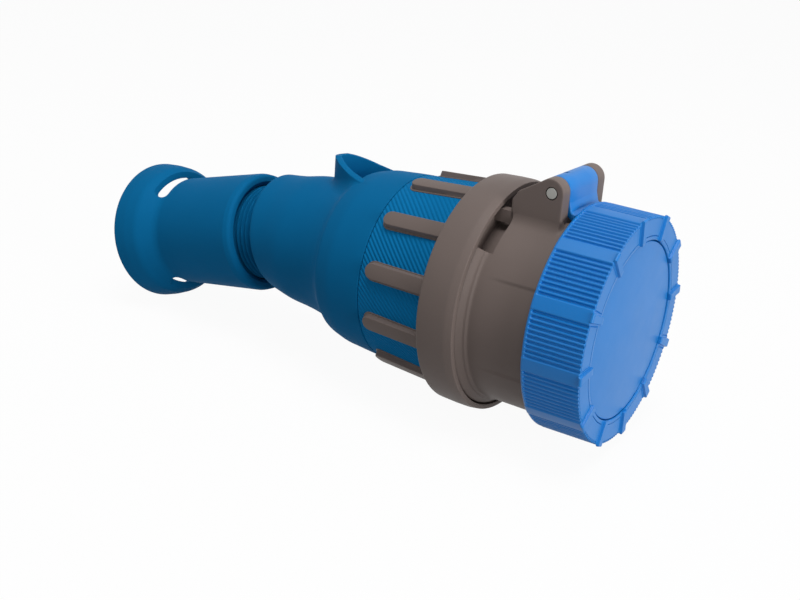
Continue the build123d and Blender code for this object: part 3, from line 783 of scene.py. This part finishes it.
@dataclass
class RearHousing:
    """Rear body with its hood, the rounded shoulder and the threaded neck."""

    front: float = -71.9
    outline: tuple[tuple[float, float], ...] = (
        (0, 31.45), (4.1, 31.2), (9.1, 30.8), (12.6, 30.5), (16.1, 29.7), (18.7, 28.9), (20.3, 27.6),
        (22.6, 26.0), (25.1, 25.1), (29.1, 24.2), (35.1, 23.4), (41.1, 22.9), (51.1, 21.0), (58.1, 20.2),
        (65.1, 19.6))
    chamber: tuple[tuple[float, float], ...] = (
        (-121.0, 10.5), (-121.0, 18.4), (-107.0, 20.9), (-97.0, 22.4), (-89.0, 25.6), (-85.0, 26.6))
    # Largest radius about the gland's axis, by the distance behind the bend.
    shoulder: tuple[tuple[float, float], ...] = (
        (-100, 90), (-5, 30), (-1.5, 22.6), (0.4, 21.4), (1.8, 20.6), (2.8, 19.6), (3.5, 18.3), (4.0, 16.5))
    spigot_r: float = 28.6
    spigot_front: float = -44.3
    hood_plan: tuple[tuple[float, float], ...] = (
        (34.3, 0.0), (34.1, 0.9), (33.4, 2.1), (32.1, 3.6), (30.1, 5.3), (28.1, 6.7), (26.1, 7.7),
        (23.1, 8.8), (19.1, 9.8), (13.1, 10.8))
    hood_roof: tuple[tuple[float, float], ...] = (
        (35.2, 32.2), (32.3, 32.8), (30.1, 32.5), (26.1, 31.7), (22.1, 30.8), (18.6, 30.2), (13.1, 29.3))
    wall: float = 2.2
    sweep: tuple[float, float] = (1.5, 3.2)
    thread_pitch: float = 2.0

    def skin_radius(self, x: np.ndarray) -> np.ndarray:
        """Radius of the body at a station, read from its smooth outline."""
        line = eased(list(self.outline), 400)
        return np.interp(self.front - x, line[:, 0], line[:, 1])

    def body(self) -> Shell:
        """Body and spigot, ended by the rounded shoulder.

        The body is swept about the front axis, then each point behind the shoulder is drawn in
        to the surface that the shoulder's profile sweeps about the gland axis. The skin goes on
        inside the neck's wall and comes back along the terminal chamber.
        """
        line = eased(list(self.outline), 150) * (-1, 1) + (self.front, 0)
        line = line[line[:, 0] > -131.0]
        edge = self.front - 2.0
        head = rounded([(self.spigot_front, 26.6, 0), (self.spigot_front, self.spigot_r, 0.4),
                        (self.front, self.spigot_r, 0), (self.front, self.outline[0][1], 0.3),
                        (edge, 31.32, 0)], False)
        outer = np.vstack([head[:-1], line[line[:, 0] < self.front - 0.7]])
        angle = np.linspace(0, math.tau, 288, endpoint=False)[None, :]
        points = around_axis(outer[:, :1], outer[:, 1:], angle)
        back = np.linalg.inv(axis_frame(Line.GLAND))
        local = points @ back[:3, :3].T + back[:3, 3]
        u, radius = -local[..., 0], np.hypot(local[..., 1], local[..., 2])
        limit = np.interp(u, *np.array(self.shoulder).T)
        held = np.clip(u, None, 4.2)
        shrink = np.minimum(1.0, limit / np.maximum(radius, 1e-6))
        shrink = np.where(u > 4.0, 15.5 / np.maximum(radius, 1e-6), shrink)
        local = np.stack([-held, local[..., 1] * shrink, local[..., 2] * shrink], axis=-1)
        put = axis_frame(Line.GLAND)
        room = np.array(self.chamber)
        inside = around_axis(room[:, :1], room[:, 1:], angle)
        return Shell.from_grid(np.concatenate([local @ put[:3, :3].T + put[:3, 3], inside]), True)

    def neck(self) -> Shell:
        """Neck with a waist and a thread whose crest winds once round for each pitch."""
        u = np.concatenate([np.linspace(-2, 4.6, 20), np.linspace(4.7, 25.3, 190),
                            [25.9, 25.9, 9.0, 8.9, -2.0]])
        core = np.interp(u[:210], (-2, 1.5, 2.6, 3.6, 4.6, 25.3), (15.4, 15.4, 15.1, 15.0, 15.1, 15.1))
        angle = np.linspace(0, math.tau, 145)[None, :]
        phase = np.mod(u[:210, None] / self.thread_pitch - angle / math.tau, 1.0)
        ridge = 1.9 * np.clip(1.6 * (1 - np.abs(2 * phase - 1)) - 0.25, 0, 1)
        ridge *= step(u[:210, None], 4.4, 6.0) * (1 - step(u[:210, None], 24.3, 25.3))
        radius = np.vstack([core[:, None] + ridge, np.tile([[15.6], [12.6], [12.6], [9.0], [9.0]], (1, 145))])
        skin = Shell.from_grid(around_axis(-u[:, None], radius, angle)[:, :-1], True)
        return skin.placed(axis_frame(Line.GLAND))

    def hood(self) -> Shell:
        """Hood wall: its plan line carried from the body's skin up to a flat sloping rim.

        The outside is a quarter ellipse that leaves the skin without an edge and ends upright
        under the rim. Its reach grows from the back to the sides and shrinks where the rim
        stands low, and its rise is the rim's height over the skin, or at the back only a part of
        it, under an upright wall. The inside goes straight down into the skin.
        """
        half = np.array(self.hood_plan) * (-1, 1) + (self.front, 0)
        ctrl = np.vstack([half[:0:-1] * (1, -1), half])
        length = np.concatenate([[0], np.cumsum(np.linalg.norm(np.diff(ctrl, axis=0), axis=1))])
        at = np.linspace(0, length[-1], 161)
        plan = np.column_stack([np.interp(at, length, ctrl[:, k]) for k in (0, 1)])
        for _ in range(10):
            plan[1:-1] = (plan[:-2] + 2 * plan[1:-1] + plan[2:]) / 4
        ahead = np.gradient(plan, axis=0)
        ahead /= np.linalg.norm(ahead, axis=1, keepdims=True)
        out = np.column_stack([-ahead[:, 1], ahead[:, 0]])
        out *= np.sign((out * (plan - (self.front - 18.0, 0.0))).sum(axis=1))[:, None]
        roof = np.array(self.hood_roof)

        def lift(spots: np.ndarray, radius: np.ndarray) -> np.ndarray:
            """Height above the axis plane of a point on a surface of that radius."""
            return np.sqrt(np.maximum(radius ** 2 - spots[:, 1] ** 2, 1.0))

        def skin(spots: np.ndarray) -> np.ndarray:
            """Height of the body's skin under each point."""
            return lift(spots, self.skin_radius(spots[:, 0]))

        rim_r = np.interp(self.front - plan[:, 0], roof[::-1, 0], roof[::-1, 1])
        tall = np.maximum(lift(plan, rim_r) - 0.3 - skin(plan), 0.05)
        widest = self.sweep[0] + (self.sweep[1] - self.sweep[0]) * step(np.abs(plan[:, 1]), 3.0, 9.5)
        reach = np.minimum(widest, 1.15 * tall + 0.4)[:, None]
        rows = []
        for a in np.radians(np.linspace(0, 90, 17)):
            spot = plan + out * reach * (1 - math.sin(a))
            sunk = 0.12 if a == 0 else 0.0
            rise = np.minimum(tall, 1.3 * reach[:, 0]) * (1 - math.cos(a))
            rows.append(np.column_stack([spot, skin(spot) + rise - sunk]))
        for inset, drop in ((0.09, 0.09), (0.3, 0.0), (self.wall - 0.3, 0.0), (self.wall - 0.09, 0.09),
                            (self.wall, 0.3)):
            spot = plan - out * inset
            rows.append(np.column_stack([spot, lift(spot, rim_r) - drop]))
        spot = plan - out * (self.wall + 0.1)
        foot = np.minimum(skin(spot) - 0.8, rows[-1][:, 2] - 0.1)
        rows.append(np.column_stack([spot, foot]))
        return Shell.from_grid(np.array(rows).transpose(1, 0, 2), False)

    def build(self) -> None:
        """Make the rear housing."""
        shells = [self.body(), self.neck(), self.hood()]
        make_piece("rear_housing_skin", shells, BODY_BLUE, "rear", ("rear_housing",), 40.0)


@dataclass
class GlandNut:
    """Gland nut: a long sleeve that opens into a bell with two windows."""

    outer: tuple[tuple[float, float, float], ...] = (
        (11.7, 18.6, 0.3), (11.9, 20.9, 1.6), (14.4, 21.4, 1.5), (50.8, 20.0, 6.0), (57.2, 24.4, 7.0),
        (62.0, 25.4, 6.0), (66.5, 25.9, 1.2), (68.0, 24.9, 0.5))
    inner: tuple[tuple[float, float, float], ...] = (
        (67.6, 23.7, 0.5), (62.2, 23.2, 6.0), (57.6, 22.3, 6.0), (51.2, 17.9, 6.0), (30.5, 17.9, 0.4),
        (30.5, 8.0, 0.3), (27.9, 8.0, 0), (27.9, 17.3, 0), (12.7, 17.3, 0.2))
    window_u: tuple[float, float] = (49.4, 54.6)
    window_half: float = 41.0
    window_corner: float = 2.6
    window_reach: tuple[float, float] = (10.0, 32.0)
    mm_per_degree: float = 0.37

    def cutter(self) -> bpy.types.Object:
        """Blocks that cut the two windows, with rounded corners on the unrolled sleeve.

        Returns:
            An object that is removed once the cut is made.
        """
        u0, u1 = self.window_u
        shells = []
        for mid in (0.0, 180.0):
            half, r = self.window_half, self.window_corner
            corners = [(-u1, -half, r), (-u0, -half, r), (-u0, half, r), (-u1, half, r)]
            flat = rounded([(a, b * self.mm_per_degree, c) for a, b, c in corners], True, 7)
            fine = np.vstack([np.linspace(flat[k], flat[(k + 1) % len(flat)], 16, endpoint=False)
                              for k in range(len(flat))])
            turn = np.radians(mid + fine[:, 1] / self.mm_per_degree)
            rows = [around_axis(fine[:, 0], np.full(len(fine), k), turn) for k in self.window_reach]
            shells.append(Shell.from_grid(np.array(rows), False).placed(axis_frame(Line.GLAND)))
        mesh = joined("cutter", shells)
        outward(mesh, False)
        obj = bpy.data.objects.new("cutter", mesh)
        bpy.context.scene.collection.objects.link(obj)
        return obj

    def build(self) -> None:
        """Make the nut and cut its windows."""
        loop = rounded([(-u, r, q) for u, r, q in self.outer + self.inner], True, 9)
        turned = [lathe(loop, 288, Line.GLAND)]
        nut = make_piece("gland_nut_skin", turned, BODY_BLUE, "gland", ("gland_nut",))
        tool = self.cutter()
        cut = nut.modifiers.new("windows", "BOOLEAN")
        cut.operation = "DIFFERENCE"
        cut.solver = "EXACT"
        cut.object = tool
        graph = bpy.context.evaluated_depsgraph_get()
        mesh = bpy.data.meshes.new_from_object(nut.evaluated_get(graph))
        nut.modifiers.clear()
        nut.data = mesh
        smooth(mesh, 35.0)
        bpy.data.objects.remove(tool)


@dataclass
class FrontHousing:
    """Socket tube with its mouth, bead, flange, pockets and side panels, and the two hinge ears."""

    hinge: Hinge
    tube_r: float = 32.4
    tube_x: float = -10.5
    mouth_r: float = 29.5
    bore_r: float = 26.8
    floor_x: tuple[float, float] = (-37.5, -41.5)
    end_x: float = -43.3
    flange_x: float = -33.8
    flange_r: float = 35.0
    pocket_r: float = 28.6
    pocket_x: tuple[float, float] = (-35.8, -29.6)
    pocket_angles: tuple[float, float] = (24.0, 49.0)
    ear_pocket_x: float = -30.5
    panel_x: tuple[float, float] = (-29.0, -21.0)
    panel_angles: tuple[float, float] = (61.0, 113.0)
    panel_depth: float = 0.35
    notch_r: float = 29.9
    notch_half: float = 9.6
    notch_x: float = -22.5
    blend_r: float = 4.0
    hole_r: float = 1.95
    key_r: float = 28.3
    key_half: float = 3.5
    ear_rear: float = -30.5
    ear_front: float = -14.3
    ear_fade: float = 1.1
    web_z: tuple[float, float] = (28.0, 31.9)
    web_w: float = 3.2
    web_x: tuple[float, float] = (-38.0, -29.8)
    ramp_x: tuple[float, float] = (-5.0, -2.0)
    ramp_r: tuple[float, float] = (29.0, 31.8)
    ramp_at: tuple[float, ...] = (-52.0, 128.0)
    ramp_half: float = 18.0
    segments: int = 540

    def profile(self) -> np.ndarray:
        """Closed profile of the tube from the mouth's inner edge round the outside and back."""
        front = rounded([(0, self.bore_r, 0.5), (0, self.mouth_r, 0.6), (self.tube_x, self.mouth_r, 0.2),
                         (self.tube_x, self.tube_r, 0.4), (-12.0, self.tube_r, 0)], False)
        barrel = np.column_stack([np.linspace(-12.3, -30.3, 41), np.full(41, self.tube_r)])
        edge, top = self.flange_x, self.flange_r
        cove = rounded([(-30.4, self.tube_r, 0), (-30.9, 32.45, 0.6), (-31.4, 33.05, 0.35),
                        (-32.1, 33.2, 0.8), (-33.6, 34.75, 0.3), (edge, 34.9, 0.1), (edge - 0.12, top, 0.05),
                        (edge - 0.3, top, 0)], False, 6)
        rim = np.column_stack([np.linspace(edge - 0.4, -36.1, 10), np.full(10, top)])
        ahead, behind = self.floor_x
        rear = rounded([(-36.2, top, 0), (-38.1, top, 0.2), (-38.1, 31.2, 0.3), (-41.3, 31.2, 0.3),
                        (-41.3, 33.0, 0.3), (self.end_x, 33.0, 0.3), (self.end_x, 26.6, 0),
                        (behind, 26.6, 0), (behind, 21.9, 0), (ahead, 21.9, 0), (ahead, self.bore_r, 0.6),
                        (-0.7, self.bore_r, 0)], False)
        return np.vstack([front, barrel, cove, rim, rear])

    def blend(self, turn: np.ndarray) -> np.ndarray:
        """Radius of the concave sweep from an ear's outer face down to the tube.

        It is where a ray at that angle first meets a circle that touches both the face's plane
        and the tube. Past the touching point it goes on just under the face's plane for a short
        way, so no crease shows, and then falls back to the tube inside the ear.

        Args:
            turn: angles from +Z, in radians.

        Returns:
            Radius at each angle, the tube's own where the sweep has ended.
        """
        y = self.hinge.face + self.blend_r
        z = math.sqrt((self.tube_r + self.blend_r) ** 2 - y ** 2)
        away = np.abs(np.mod(turn + math.pi, math.tau) - math.pi)
        meet = math.atan2(self.hinge.face, z)
        held = np.clip(away, meet, math.atan2(y, z))
        along = y * np.sin(held) + z * np.cos(held)
        radius = along - np.sqrt(np.maximum(along ** 2 - (y * y + z * z - self.blend_r ** 2), 0.0))
        hidden = meet - math.radians(1.5)
        under = (self.hinge.face - 0.02) / np.sin(np.clip(away, hidden, meet))
        radius = np.where(away < meet, under, radius)
        inner = step(away, meet - math.radians(4.5), hidden)
        return self.tube_r + (radius - self.tube_r) * inner

    def tube(self) -> Shell:
        """Closed skin of the tube, its profile carried round with the side features cut in.

        Each feature is a smooth-edged mask over station and angle. Pockets, panels and the
        notch lower the radius, and the ears' sweep raises it.
        """
        profile = self.profile()
        x = np.repeat(profile[:, :1], self.segments, axis=1)
        r = np.repeat(profile[:, 1:], self.segments, axis=1)
        degrees = np.linspace(-180, 180, self.segments, endpoint=False)[None, :]
        turn = np.radians(degrees)
        away = np.abs(degrees)
        side = r * np.sin(turn)
        outside = (r > 31.9) & (x < self.tube_x + 0.01) & (x > -36.15)
        sweep = 1 - np.sqrt(np.clip(1 - (1 - np.clip((x - self.ear_front) / self.ear_fade, 0, 1)) ** 2, 0, 1))
        sweep = np.where(x < self.ear_front, 1.0, sweep)
        raised = r + (np.maximum(self.blend(turn), r) - r) * sweep * (x > self.pocket_x[1] - 0.5)
        lo, hi = self.panel_angles
        panel = step(away, lo, lo + 0.6) * (1 - step(away, hi - 0.6, hi))
        raised -= self.panel_depth * panel * step(x, *self.panel_x)
        low, high = self.pocket_x
        back = step(x, low, low + 0.35)
        lo, hi = self.pocket_angles
        pocket = back * (1 - step(x, high - 0.6, high))
        pocket = pocket * step(away, lo - 0.8, lo) * (1 - step(away, hi - 2.0, hi))
        between = back * (1 - step(x, self.ear_pocket_x - 0.6, self.ear_pocket_x)) * (away < lo)
        pocket = np.maximum(pocket, between)
        raised += (self.pocket_r - raised) * pocket
        notch = step(x, self.notch_x, self.notch_x + 0.4) * (away < 90)
        notch = notch * (1 - step(np.abs(side), self.notch_half - 0.4, self.notch_half))
        raised += (self.notch_r - raised) * notch
        r = np.where(outside, raised, r)
        bore = (r < self.bore_r + 0.01) & (x > self.floor_x[0] - 0.01) & (r > 26.0)
        across = np.abs(self.bore_r * np.sin(turn))
        key = (1 - step(across, self.key_half - 0.25, self.key_half)) * (away > 90)
        r = np.where(bore, r + (self.key_r - self.bore_r) * key, r)
        return Shell.from_grid(around_axis(x, r, turn), True)

    def ear(self, side: int) -> Shell:
        """One ear with rounded edges and the clearance ring round the pin's end.

        The side outline is stacked across the ear's thickness. On the outer face it closes in
        along rays to a circle about the pin, which then goes down as the hole's wall.

        Args:
            side: 1 for the +Y ear, -1 for the other.

        Returns:
            The ear's skin.
        """
        foot = [(self.ear_rear, 29.5, 1.2), (self.ear_front, 29.5, 1.2)]
        rough = rounded(self.hinge.nose() + foot, True, 9)
        ring = np.vstack([rough, rough[:1]])
        length = np.concatenate([[0], np.cumsum(np.linalg.norm(np.diff(ring, axis=0), axis=1))])
        at = np.linspace(0, length[-1], 220, endpoint=False)
        outline = np.column_stack([np.interp(at, length, ring[:, k]) for k in (0, 1)])
        middle = np.array([-self.hinge.pin_back, self.hinge.pin_z])
        rays = outline - middle
        circle = middle + rays / np.linalg.norm(rays, axis=1, keepdims=True) * self.hole_r
        axes = np.array([[1, 0, 0], [0, 0, 1], [0, side, 0]], float)
        inner, outer = self.hinge.face - self.hinge.ear_t, self.hinge.face
        levels = bevel_levels(inner, outer, 0.35) + [(0.8, outer)]
        rows = stacked(outline, levels, axes).verts.reshape(-1, len(outline), 3)
        holes = [np.column_stack([circle, np.full(len(circle), y)]) @ axes for y in (outer, outer - 1.2)]
        return Shell.from_grid(np.concatenate([rows, np.array(holes)]), False)

    def web(self, side: int) -> Shell:
        """Web that ties the ear of that side to the flange, a plain square bar."""
        (low, high), (back, front) = self.web_z, self.web_x
        outline = np.array([(back, low), (front, low), (front, high), (back, high)])
        y0, y1 = sorted((side * self.hinge.face, side * (self.hinge.face - self.web_w)))
        axes = np.array([[1, 0, 0], [0, 0, 1], [0, -1, 0]], float)
        return stacked(outline, [(0.0, -y1), (0.0, -y0)], axes)

    def ramps(self) -> list[Shell]:
        """Two bayonet ramps on the mouth, whose height falls away over the last degrees of each end."""
        (x0, x1), (low, high), half = self.ramp_x, self.ramp_r, self.ramp_half
        loop = rounded([(x0, low, 0), (x0, high, 0.25), (x1, high, 0.25), (x1, low, 0)], True)
        ease = np.clip((half - np.abs(np.linspace(-half, half, 40))) / 4, 0.15, 1)[:, None]
        radius = low + (loop[None, :, 1] - low) * ease
        return [swung(loop[:, 0], radius, np.radians(np.linspace(mid - half, mid + half, 40)))
                for mid in self.ramp_at]

    def build(self) -> None:
        """Make the housing's looks."""
        shells = [self.tube()] + [make(side) for side in (-1, 1) for make in (self.ear, self.web)]
        shells += self.ramps()
        make_piece("front_housing_skin", shells, TAUPE, "front", ("front_housing",), 40.0)


@dataclass
class Inside:
    """Pieces kept from the CAD model and given their own finishes."""

    finishes: tuple[tuple[str, Finish], ...] = (
        ("contact_carrier", CARRIER_BLACK), ("carrier_back_plate", CARRIER_BLACK),
        ("line_contact", CONTACT_BRASS), ("neutral_contact", CONTACT_BRASS), ("earth_contact", CONTACT_BRASS),
        ("contact_springs", SCREW_STEEL), ("terminal_screws", SCREW_STEEL), ("carrier_screws", SCREW_STEEL),
        ("lid_spring", SCREW_STEEL), ("body_seal", SEAL_BLACK), ("cable_seal", SEAL_BLACK),
        ("lid_gasket", SEAL_BLACK), ("thrust_washer", WASHER_GREY))

    def build(self) -> None:
        """Dress each kept node."""
        for name, finish in self.finishes:
            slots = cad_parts[name].data.materials
            slots.clear()
            slots.append(finish.material())
            log.info("%s: dressed", name)


@dataclass
class Studio:
    """Camera, lamps, floor and background."""

    eye: tuple[float, float, float] = (0.10798, -0.27857, 0.11756)
    right: tuple[float, float, float] = (0.8186, 0.5711, 0.0618)
    up: tuple[float, float, float] = (-0.2557, 0.2659, 0.9295)
    lens: float = 47.25
    sensor: float = 36.0
    aim: tuple[float, float, float] = (-0.08, 0.0, 0.0)
    lamps: tuple[tuple[str, tuple[float, float, float], float, float], ...] = (
        ("key_above", (0.05, -0.12, 0.9), 0.5, 5.3), ("key_front", (1.0, -0.2, 0.14), 0.5, 8.0))
    fill: float = 0.32
    floor_z: float = -0.0391
    floor_half: float = 40.0

    def stand(self, obj: bpy.types.Object, axes: tuple[np.ndarray, np.ndarray, np.ndarray],
              place: tuple[float, float, float]) -> None:
        """Put an object into the scene.

        Args:
            obj: camera or lamp.
            axes: directions of its own X, Y and Z.
            place: where it stands, in metres.
        """
        turn = Matrix(np.column_stack(axes).tolist()).to_4x4()
        turn.translation = place
        obj.matrix_world = turn
        bpy.context.scene.collection.objects.link(obj)

    def camera(self) -> None:
        """Place the camera at the photograph's viewpoint."""
        cam = bpy.data.cameras.new("camera")
        cam.lens = self.lens
        cam.sensor_width = self.sensor
        obj = bpy.data.objects.new("camera", cam)
        right, up = np.array(self.right), np.array(self.up)
        right /= np.linalg.norm(right)
        up -= right * (up @ right)
        up /= np.linalg.norm(up)
        self.stand(obj, (right, up, np.cross(right, up)), self.eye)
        bpy.context.scene.camera = obj

    def lamp(self, name: str, place: tuple[float, float, float], size: float, power: float) -> None:
        """Add a square soft box that faces the middle of the object.

        Args:
            name: the lamp's name.
            place: where it stands, in metres.
            size: its side, in metres.
            power: its power, in watts.
        """
        light = bpy.data.lights.new(name, "AREA")
        light.shape = "SQUARE"
        light.size = size
        light.energy = power
        obj = bpy.data.objects.new(name, light)
        toward = np.array(self.aim) - np.array(place)
        z = -toward / np.linalg.norm(toward)
        x = np.cross([0, 0, 1], z)
        x /= np.linalg.norm(x)
        self.stand(obj, (x, np.cross(z, x), z), place)

    def white_to_camera(self, tree: bpy.types.NodeTree, seen: bpy.types.NodeSocket,
                        other: bpy.types.NodeSocket, out: bpy.types.NodeSocket) -> None:
        """Show one shader to the camera and to reflections, and another to everything else.

        Args:
            tree: node tree to build in.
            seen: shader that the camera and reflections see.
            other: shader that lights the scene.
            out: surface socket to feed.
        """
        path = tree.nodes.new("ShaderNodeLightPath")
        direct = path.outputs["Is Camera Ray"]
        for ray in ("Is Glossy Ray", "Is Transmission Ray"):
            either = tree.nodes.new("ShaderNodeMath")
            either.operation = "MAXIMUM"
            tree.links.new(direct, either.inputs[0])
            tree.links.new(path.outputs[ray], either.inputs[1])
            direct = either.outputs[0]
        mix = tree.nodes.new("ShaderNodeMixShader")
        tree.links.new(direct, mix.inputs["Fac"])
        tree.links.new(other, mix.inputs[1])
        tree.links.new(seen, mix.inputs[2])
        tree.links.new(mix.outputs[0], out)

    def world(self) -> None:
        """White background with a softer white that lights the object."""
        world = bpy.data.worlds.new("studio")
        bpy.context.scene.world = world
        world.use_nodes = True
        tree = world.node_tree
        tree.nodes.clear()
        out = tree.nodes.new("ShaderNodeOutputWorld")
        seen = tree.nodes.new("ShaderNodeBackground")
        seen.inputs["Color"].default_value = (1, 1, 1, 1)
        seen.inputs["Strength"].default_value = 1.0
        fill = tree.nodes.new("ShaderNodeBackground")
        fill.inputs["Color"].default_value = (0.95, 0.97, 1, 1)
        fill.inputs["Strength"].default_value = self.fill
        self.white_to_camera(tree, seen.outputs[0], fill.outputs[0], out.inputs["Surface"])

    def floor(self) -> None:
        """Large pale floor that keeps a faint shadow."""
        half, z = self.floor_half, self.floor_z
        mesh = bpy.data.meshes.new("floor")
        corners = [(-half, -half, z), (half, -half, z), (half, half, z), (-half, half, z)]
        mesh.from_pydata(corners, [], [(0, 1, 2, 3)])
        obj = bpy.data.objects.new("floor", mesh)
        bpy.context.scene.collection.objects.link(obj)
        mat = bpy.data.materials.new("floor_white")
        mat.use_nodes = True
        tree = mat.node_tree
        tree.nodes.clear()
        out = tree.nodes.new("ShaderNodeOutputMaterial")
        paper = tree.nodes.new("ShaderNodeBsdfDiffuse")
        paper.inputs["Color"].default_value = (0.86, 0.86, 0.86, 1)
        dull = tree.nodes.new("ShaderNodeBsdfDiffuse")
        dull.inputs["Color"].default_value = (0.4, 0.4, 0.4, 1)
        glow = tree.nodes.new("ShaderNodeEmission")
        glow.inputs["Strength"].default_value = 1.0
        blend = tree.nodes.new("ShaderNodeMixShader")
        blend.inputs["Fac"].default_value = 0.95
        tree.links.new(paper.outputs[0], blend.inputs[1])
        tree.links.new(glow.outputs[0], blend.inputs[2])
        self.white_to_camera(tree, blend.outputs[0], dull.outputs[0], out.inputs["Surface"])
        obj.data.materials.append(mat)

    def build(self) -> None:
        """Set the scene."""
        self.camera()
        self.world()
        self.floor()
        for name, place, size, power in self.lamps:
            self.lamp(name, place, size, power)
        bpy.context.scene.view_settings.view_transform = "Standard"


def main() -> None:
    """Build the looks piece by piece."""
    logging.basicConfig(level=logging.INFO, format="%(name)s: %(message)s")
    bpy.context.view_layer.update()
    hinge = Hinge()
    Studio().build()
    for part in (FrontHousing(hinge), hinge, UnionNut(), RearHousing(), GlandNut(), Lid(hinge),
                 LockingRing(), Inside()):
        part.build()


if __name__ == "__main__":
    main()
